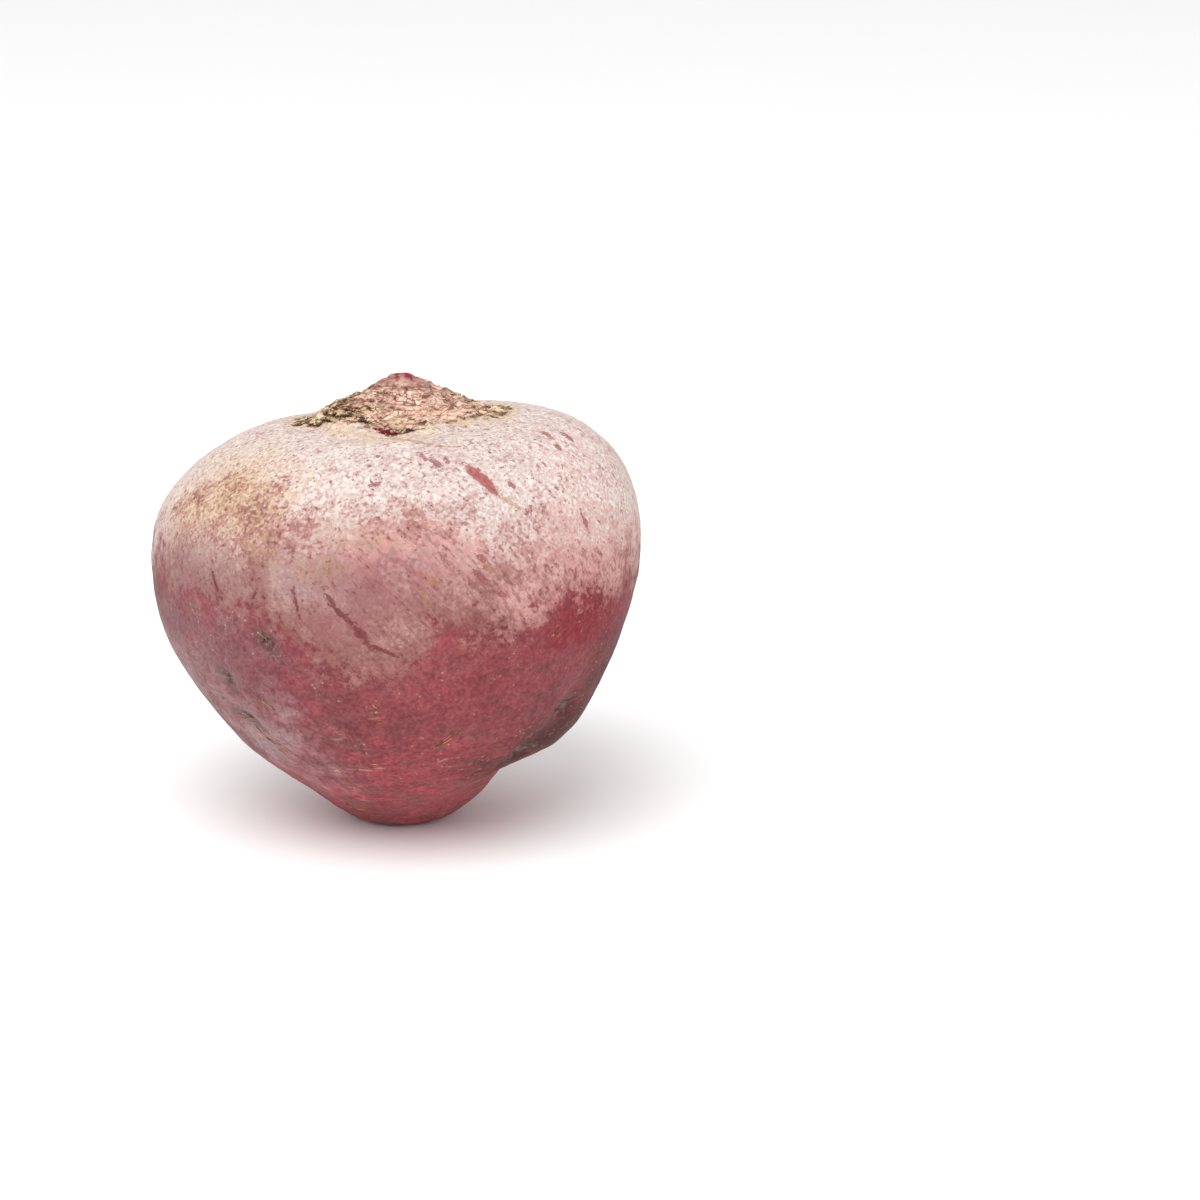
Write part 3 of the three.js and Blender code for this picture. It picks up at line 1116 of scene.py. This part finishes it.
    def _cork(self, point: Vector, share: float) -> float:
        """Roughens the crown's cork.

        Args:
            point: A point of the root.
            share: How strong the cork is there, from 0 to 1.

        Returns:
            How far the cork stands out there.
        """
        if share <= 0:
            return 0.0
        pulls = [noise.noise((point + HEART * shift) / self.warp_wave) for shift in (1, 2, 3)]
        warp = Vector(pulls) * self.warp_rise
        rough = noise.fractal((point + warp) / self.cork_wave, *self.cork_octaves)
        return self.cork_rise * share * rough


@dataclass(frozen=True)
class LeafBase:
    """One cut leaf base: where its root is on the crown, how wide it is and how long out to its lip."""

    bearing: float
    reach: float
    width: float
    depth: float


@dataclass
class LeafScars:
    """The ragged bases of the cut leaves, lapped like shingles down the crown, and loose shreds of them.

    A span holds the least and the most of a size. The shreds gather at the left and at the right, each a
    bearing and how far they spread about it.
    """

    name: str = "beet_crown_leaf_scars"
    seed: int = 7
    tiers: tuple[float, ...] = (3.6, 4.7, 5.8, 7.0, 8.2, 9.6, 10.9, 12.2, 13.4)
    lap: float = 1.35
    pitch: float = 0.9
    width: Span = (3.0, 7.0)
    depth: Span = (1.5, 2.6)
    lift: Span = (0.0, 0.2)
    skew: float = 0.9
    thickness: float = 0.14
    sunk: float = 0.12
    rounded: float = 0.45
    torn_length: float = 0.55
    torn_rise: float = 0.8
    torn_wave: float = 0.6
    torn_octaves: Octaves = (0.7, 2.2, 3)
    torn_span: float = 90.0
    steps_across: int = 12
    steps_out: int = 3
    tightest: float = 3.0
    rim_share: float = 0.8
    shreds: int = 130
    shred_left: Span = (-80, 35)
    shred_right: Span = (105, 25)
    shred_reach: Span = (6.0, 16.0)
    shred_width: Span = (1.2, 3.6)
    shred_depth: Span = (0.3, 0.7)
    cleft_bearing: float = -2.0
    cleft_reach: float = 14.2
    cleft_size: float = 2.4

    def build(self, ground: Ground, top: Vector) -> bpy.types.Object:
        """Makes every leaf base and shred as one piece.

        Args:
            ground: The root's surface.
            top: The tip of the crown's bud, in millimetres.

        Returns:
            The piece, riding on the root.
        """
        draw = random.Random(self.seed)
        shape = bmesh.new()
        for name in ("lip", "tint", "reach"):
            shape.verts.layers.float.new(name)
        for base in self._bases(draw):
            if self._is_clear(base):
                self._add_base(shape, ground, top, draw, base)
        mesh = bpy.data.meshes.new(self.name)
        shape.to_mesh(mesh)
        shape.free()
        mesh.shade_smooth()
        scars = link(self.name, mesh)
        wall = scars.modifiers.new("thickness", "SOLIDIFY")
        wall.thickness = self.thickness * MM
        wall.offset = -1
        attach(scars, BODY)
        return scars

    def _bases(self, draw: random.Random) -> Iterator[LeafBase]:
        """Lays out the tiers of leaf bases and then the shreds.

        Args:
            draw: The seeded source of chance, which each base also draws on as it is made.

        Yields:
            Each leaf base in turn.
        """
        for reach in self.tiers:
            bearing = draw.uniform(0, 360)
            end = bearing + 360 * self.lap
            while bearing < end:
                width = draw.uniform(*self.width)
                turn = math.degrees(width / reach)
                yield LeafBase(bearing + turn / 2, reach, width, draw.uniform(*self.depth))
                bearing += turn * self.pitch
        for _ in range(self.shreds):
            sides = (draw.gauss(*self.shred_left), draw.gauss(*self.shred_right))
            bearing = draw.choice((*sides, draw.uniform(0, 360)))
            reach = draw.uniform(*self.shred_reach)
            width = draw.uniform(*self.shred_width)
            yield LeafBase(bearing, reach, width, draw.uniform(*self.shred_depth))

    def _is_clear(self, base: LeafBase) -> bool:
        """Tells whether a leaf base has room.

        Args:
            base: The leaf base.

        Returns:
            Whether it keeps inside the crown's rim and off the torn cleft.
        """
        middle = heading(base.bearing) * (base.reach + base.depth / 2)
        gap = middle - heading(self.cleft_bearing) * self.cleft_reach
        round_crown = (base.bearing + 180) % 360 - 180
        inside = base.reach + self.rim_share * base.depth <= periodic(round_crown, CROWN_RIM)
        return inside and gap.length >= self.cleft_size

    def _add_base(
        self, shape: bmesh.types.BMesh, ground: Ground, top: Vector, draw: random.Random, base: LeafBase
    ) -> None:
        """Adds one thin leaf base that hugs the crown, its root sunk in and its ragged lip lifted.

        Args:
            shape: The mesh to add it to.
            ground: The root's surface.
            top: The tip of the crown's bud, in millimetres.
            draw: The seeded source of chance.
            base: The leaf base.
        """
        layers = shape.verts.layers.float
        lip_layer, tint_layer, reach_layer = layers["lip"], layers["tint"], layers["reach"]
        across, along = self.steps_across, self.steps_out
        sheet = bmesh.ops.create_grid(shape, x_segments=across, y_segments=along, size=1.0)["verts"]
        lift = draw.uniform(*self.lift)
        skew = draw.uniform(-self.skew, self.skew)
        tint = draw.random()
        grain = Vector((draw.uniform(0, self.torn_span), draw.uniform(0, self.torn_span), 0))
        half_turn = math.degrees(base.width / max(base.reach, self.tightest)) / 2
        for vertex in sheet:
            side = vertex.co.x
            out = (vertex.co.y + 1) / 2
            along_lip = Vector((side * base.width, 0, 0)) * self.torn_wave
            torn = noise.fractal(grain + along_lip, *self.torn_octaves)
            length = base.depth * out * (1 - self.rounded * side * side + self.torn_length * torn)
            way = heading(base.bearing + side * half_turn)
            place = top + way * (base.reach + length + skew * side)
            point, normal = ground.below(place.x, place.y)
            rise = lift * out * out * (1 - side**4) * (1 + self.torn_rise * torn)
            rise = rise - self.sunk * (1 - out) - self.sunk * side**4
            vertex.co = (point + normal * rise) * MM
            vertex[lip_layer] = out
            vertex[tint_layer] = tint
            vertex[reach_layer] = base.reach + length

    def dress(self, scars: bpy.types.Object, cork: CrownCork, ground: Ground) -> None:
        """Paints the leaf bases like the crown, with painted shade at their roots under the tier above.

        Args:
            scars: The piece to paint.
            cork: The crown's finish.
            ground: The root's surface.
        """
        bench = Bench("leaf_scar_paint")
        mottle = bench.noise(1.2, 4.0, 0.65)
        lip = bench.attribute("lip")
        # Painted shade at each leaf base's root, under the lip of the tier above.
        deep = (1 - bench.step(lip + 0.5 * (mottle - 0.5), 0.05, 0.5)) * 0.75
        colour = cork.colour(bench, bench.attribute("reach"), deep)
        colour = bench.shade(colour, bench.attribute("tint"), 0.82, 1.12)
        colour = cork.spotted(bench, ground, colour)
        scars.data.materials.append(bench.finish(colour, 0.82 + 0.1 * (mottle - 0.5), 0.2 * mottle))


@dataclass
class Rootlets:
    """The dry hair-thin side roots that still lie on the skin."""

    name: str = "beet_rootlets"
    thick: float = 0.16
    taper: float = 0.75
    weld: float = 0.0005
    stand_off: float = 0.35
    bends: int = 3
    sides: int = 6
    steps: int = 14
    straw: Colour = srgb(206, 160, 104)
    dark: Colour = srgb(112, 76, 50)
    routes: tuple[Steps, ...] = (
        ((-36.5, -16.2), (-33.9, -16.5), (-31.7, -17.7), (-29.1, -18.4)),
        ((-46.9, -28.0), (-42.6, -30.7), (-34.6, -33.0), (-31.2, -37.2), (-27.8, -39.0)),
        ((-42.9, -29.9), (-35.9, -31.7), (-32.3, -33.9)),
        ((12.1, -29.1), (15.9, -24.9), (19.2, -21.4)),
        ((13.2, -28.4), (16.8, -25.3), (20.3, -22.8)),
        ((-27.9, -67.5), (-22.5, -66.8), (-19.9, -68.6)),
        ((-3.5, -13.6), (-2.8, -14.7), (-1.5, -14.1)),
        ((-5.7, -19.8), (-3.6, -19.7), (-0.4, -19.0)),
        ((-7.0, -35.5), (-4.4, -34.8), (-1.4, -35.6)),
        ((-32.2, 2.9), (-31.0, 1.7), (-29.0, -0.6)),
        ((-48.4, -24.0), (-45.5, -25.9), (-40.9, -27.3)),
        ((-34.6, -16.7), (-33.6, -19.3)),
        ((-30.8, 3.6), (-30.5, 1.2), (-30.1, 0.0)),
        ((-48.3, -26.4), (-44.2, -26.7), (-38.5, -27.9)),
        ((-31.6, -62.8), (-31.3, -67.0), (-29.5, -69.1)),
        ((60.0, -24.2), (64.4, -26.7)),
        ((142, -6), (140, -9), (143, -13), (139, -17)),
        ((-134, -12), (-131, -16), (-133, -20)),
        ((138, -28), (133, -31), (129, -36)),
    )

    def build(self, ground: Ground) -> bpy.types.Object:
        """Sweeps every rootlet along its route as one piece.

        Args:
            ground: The root's surface.

        Returns:
            The piece, riding on the root.
        """
        shape = bmesh.new()
        for route in self.routes:
            self._sweep(shape, self._smooth_route(ground, route))
        mesh = bpy.data.meshes.new(self.name)
        bmesh.ops.recalc_face_normals(shape, faces=shape.faces)
        shape.to_mesh(mesh)
        shape.free()
        mesh.shade_smooth()
        hairs = link(self.name, mesh)
        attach(hairs, BODY)
        return hairs

    def _smooth_route(self, ground: Ground, route: Steps) -> list[Vector]:
        """Draws a smooth curve along a route.

        Args:
            ground: The root's surface.
            route: Bearings and rises that the curve runs by.

        Returns:
            Points along the curve, each lying on the skin.
        """
        knots = np.linspace(0, 1, len(route))
        bearings, rises = zip(*route)
        order = min(len(route) - 1, self.bends)
        curve_bearing = np.polyfit(knots, bearings, order)
        curve_rise = np.polyfit(knots, rises, order)
        line = []
        for share in np.linspace(0, 1, self.steps):
            point, normal = ground.touch(np.polyval(curve_bearing, share), np.polyval(curve_rise, share))
            line.append(point + normal * self.thick * self.stand_off)
        return line

    def _sweep(self, shape: bmesh.types.BMesh, line: list[Vector]) -> None:
        """Rolls a grid into one tapering tube along a line, closed to a point at both ends.

        Args:
            shape: The mesh to add it to.
            line: Points along the tube's middle.
        """
        last = len(line) - 1
        sheet = bmesh.ops.create_grid(shape, x_segments=self.sides, y_segments=last, size=1.0)["verts"]
        for vertex in sheet:
            step = round((vertex.co.y + 1) / 2 * last)
            turn = math.pi * vertex.co.x
            ahead = line[min(step + 1, last)] - line[max(step - 1, 0)]
            radius = 0.0 if step in (0, last) else self.thick / 2 * (1 - self.taper * step / last)
            across = Vector((math.cos(turn), math.sin(turn), 0)) * radius
            vertex.co = (line[step] + ahead.to_track_quat("Z", "Y") @ across) * MM
        bmesh.ops.remove_doubles(shape, verts=sheet, dist=self.weld * MM)

    def dress(self, hairs: bpy.types.Object) -> None:
        """Paints the rootlets a dry straw colour with darker stretches.

        Args:
            hairs: The piece to paint.
        """
        bench = Bench("rootlet_paint")
        stain = bench.noise(1.6, 3.0)
        colour = bench.mix(bench.step(stain, 0.42, 0.62), self.dark, self.straw)
        hairs.data.materials.append(bench.finish(colour, 0.7 + 0.1 * stain, 0.05 * stain))


@dataclass
class Studio:
    """The pale floor, the soft lamp, the even light all round and the camera."""

    aim: tuple[float, float, float] = (36.35, 0.0, 40.24)
    distance: float = 700.0
    climb: float = 15.0
    lens: float = 116.7
    nearest: float = 10.0
    floor_metres: float = 12.0
    floor_steps: int = 8
    floor_colour: Colour = srgb(250, 250, 250)
    lamp_metres: tuple[float, float, float] = (-0.22, -0.75, 1.1)
    lamp_width: float = 1.2
    lamp_power: float = 13.0
    sky_colour: Colour = (1.0, 1.0, 1.0, 1.0)
    sky_strength: float = 0.9

    def build(self) -> None:
        """Sets up the camera, the floor, the lamp and the sky."""
        self._camera()
        self._floor()
        self._lamp()
        self._sky()
        bpy.context.scene.view_settings.view_transform = "Standard"

    def _camera(self) -> None:
        """Aims the camera."""
        data = bpy.data.cameras.new("camera")
        data.lens = self.lens
        data.clip_start = self.nearest * MM
        camera = bpy.data.objects.new("camera", data)
        climb = math.radians(self.climb)
        back = Vector((0, -math.cos(climb), math.sin(climb)))
        camera.location = (Vector(self.aim) + back * self.distance) * MM
        camera.rotation_euler = back.to_track_quat("Z", "Y").to_euler()
        bpy.context.scene.collection.objects.link(camera)
        bpy.context.scene.camera = camera

    def _floor(self) -> None:
        """Lays a wide pale floor."""
        shape = bmesh.new()
        steps = self.floor_steps
        bmesh.ops.create_grid(shape, x_segments=steps, y_segments=steps, size=self.floor_metres / 2)
        mesh = bpy.data.meshes.new("floor")
        shape.to_mesh(mesh)
        shape.free()
        floor = link("floor", mesh)
        bench = Bench("floor_paint")
        haze = bench.noise(90.0, 2.0)
        colour = bench.shade(self.floor_colour, haze, 0.985, 1.0)
        mesh.materials.append(bench.finish(colour, 0.9, 0.01 * haze))

    def _lamp(self) -> None:
        """Hangs one soft lamp that faces the root."""
        data = bpy.data.lights.new("key", "AREA")
        data.shape = "DISK"
        data.size = self.lamp_width
        data.energy = self.lamp_power
        lamp = bpy.data.objects.new("key", data)
        lamp.location = self.lamp_metres
        lamp.rotation_euler = (Vector(self.lamp_metres) - HEART * MM).to_track_quat("Z", "Y").to_euler()
        bpy.context.scene.collection.objects.link(lamp)

    def _sky(self) -> None:
        """Fills the rest of the room with even white light."""
        world = bpy.data.worlds.new("room")
        world.use_nodes = True
        background = world.node_tree.nodes["Background"]
        background.inputs["Color"].default_value = self.sky_colour
        background.inputs["Strength"].default_value = self.sky_strength
        bpy.context.scene.world = world


def main() -> None:
    """Builds and dresses every piece in order."""
    logging.basicConfig(level=logging.INFO, format="%(name)s: %(message)s")
    Studio().build()
    skin = BeetSkin()
    grown = Root()
    root = grown.build()
    grown.dress(root, skin)
    ground = Ground(root)
    top = max((vertex.co for vertex in root.data.vertices), key=lambda point: point.z) / MM
    leaf_scars = LeafScars()
    scars = leaf_scars.build(ground, top)
    leaf_scars.dress(scars, skin.cork, ground)
    rootlets = Rootlets()
    hairs = rootlets.build(ground)
    rootlets.dress(hairs)
    for piece in (root, scars, hairs):
        LOG.info("%s: %d points", piece.name, len(piece.data.vertices))


if __name__ == "__main__":
    main()
